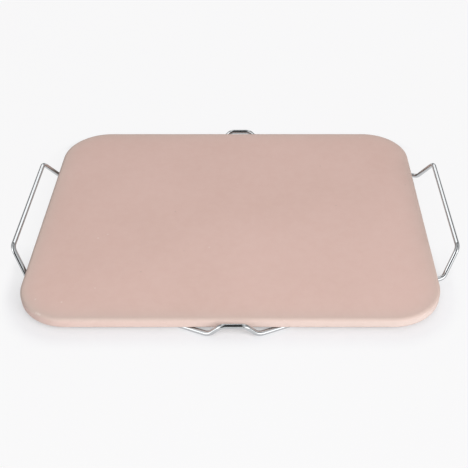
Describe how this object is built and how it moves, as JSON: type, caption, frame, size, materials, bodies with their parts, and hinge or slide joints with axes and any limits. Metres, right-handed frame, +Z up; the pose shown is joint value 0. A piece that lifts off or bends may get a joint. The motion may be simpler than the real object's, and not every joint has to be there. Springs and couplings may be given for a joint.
{
  "type": "pizza stone",
  "caption": "Flat rectangular fired-clay baking stone with round corners, lying loose on a low chromed wire rack with side handles and end stops.",
  "frame": {"origin": "middle of the wire rack in plan, on the table that the rails lie on", "axes": "+Z up, +X along the stone's length towards the right handle, +Y to the rear stop"},
  "size_m": [0.4186, 0.316, 0.0301],
  "materials": {
    "fired_clay": "matte, unglazed, pinkish beige",
    "chromed_wire": "bright plated round wire",
    "plated_weld": "ground and plated, duller than the wire"
  },
  "bodies": {
    "rack": {"left_handle_wire": "chromed_wire", "right_handle_wire": "chromed_wire", "front_stop_wire": "chromed_wire", "rear_stop_wire": "chromed_wire", "front_left_weld": "plated_weld", "front_right_weld": "plated_weld", "rear_left_weld": "plated_weld", "rear_right_weld": "plated_weld"},
    "stone": {"stone_slab": "fired_clay"}
  },
  "joints": [
    {"name": "stone_lift", "type": "slide", "parent": "rack", "child": "stone", "axis": [0, 0, 1], "range_m": [0, 0.1]}
  ]
}
